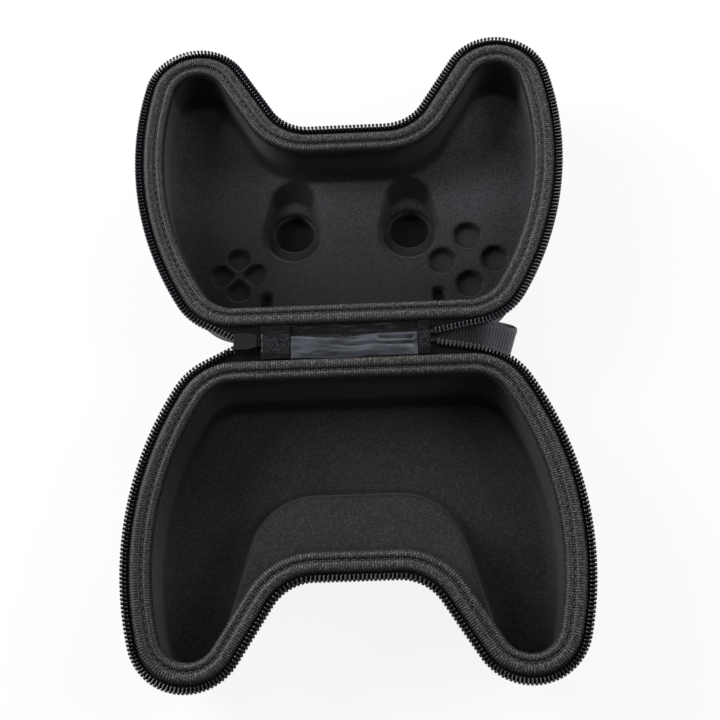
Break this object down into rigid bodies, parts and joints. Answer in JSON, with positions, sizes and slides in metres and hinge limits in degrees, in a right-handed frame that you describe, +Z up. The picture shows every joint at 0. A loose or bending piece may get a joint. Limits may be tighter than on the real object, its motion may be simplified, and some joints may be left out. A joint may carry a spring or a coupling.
{
  "type": "moulded carrying case for a two-handed game pad",
  "caption": "Black moulded clamshell carrying case for a game pad, open flat, with a fitted lining, bound rims, zip, cloth hinge and webbing loop.",
  "frame": {"origin": "on the floor under the middle of the hinge axis, with the case open flat on its back", "axes": "+X to the right along the hinge, +Y from the hinge towards the lid, +Z up"},
  "size_m": [0.1768, 0.27, 0.0389],
  "materials": {
    "shell_cloth": "matt woven nylon",
    "lining_velvet": "short velvet pile",
    "binding_ribbon": "ribbed ribbon",
    "zip_tape": "woven tape",
    "zip_teeth": "moulded, slightly glossy",
    "zip_metal": "black paint",
    "satin": "shiny satin weave",
    "webbing": "ribbed webbing"
  },
  "bodies": {
    "base": {"base_shell": "shell_cloth", "base_lining": "lining_velvet", "base_binding": "binding_ribbon", "base_zip_tape": "zip_tape", "base_zip_teeth": "zip_teeth", "base_end_stop": "zip_metal", "hinge_spine": "zip_tape", "hinge_satin": "satin", "left_hinge_patch": "zip_tape", "right_hinge_patch": "zip_tape", "zip_slider": "zip_metal", "joined_teeth": "zip_teeth", "bottom_stop": "zip_metal", "carry_strap": "webbing"},
    "lid": {"lid_shell": "shell_cloth", "lid_lining": "lining_velvet", "lid_binding": "binding_ribbon", "lid_zip_tape": "zip_tape", "lid_zip_teeth": "zip_teeth", "lid_end_stop": "zip_metal"},
    "pull": {"pull_tab": "zip_metal"}
  },
  "joints": [
    {"name": "lid_hinge", "type": "hinge", "parent": "base", "child": "lid", "pos_m": [0, 0, 0.038], "axis": [1, 0, 0], "range_deg": [-5, 180], "deforming": ["hinge_spine", "hinge_satin", "left_hinge_patch", "right_hinge_patch"]},
    {"name": "pull_swing", "type": "hinge", "parent": "base", "child": "pull", "pos_m": [-0.0417, 0, 0.0325], "axis": [0, 1, 0], "range_deg": [-80, 80]}
  ]
}
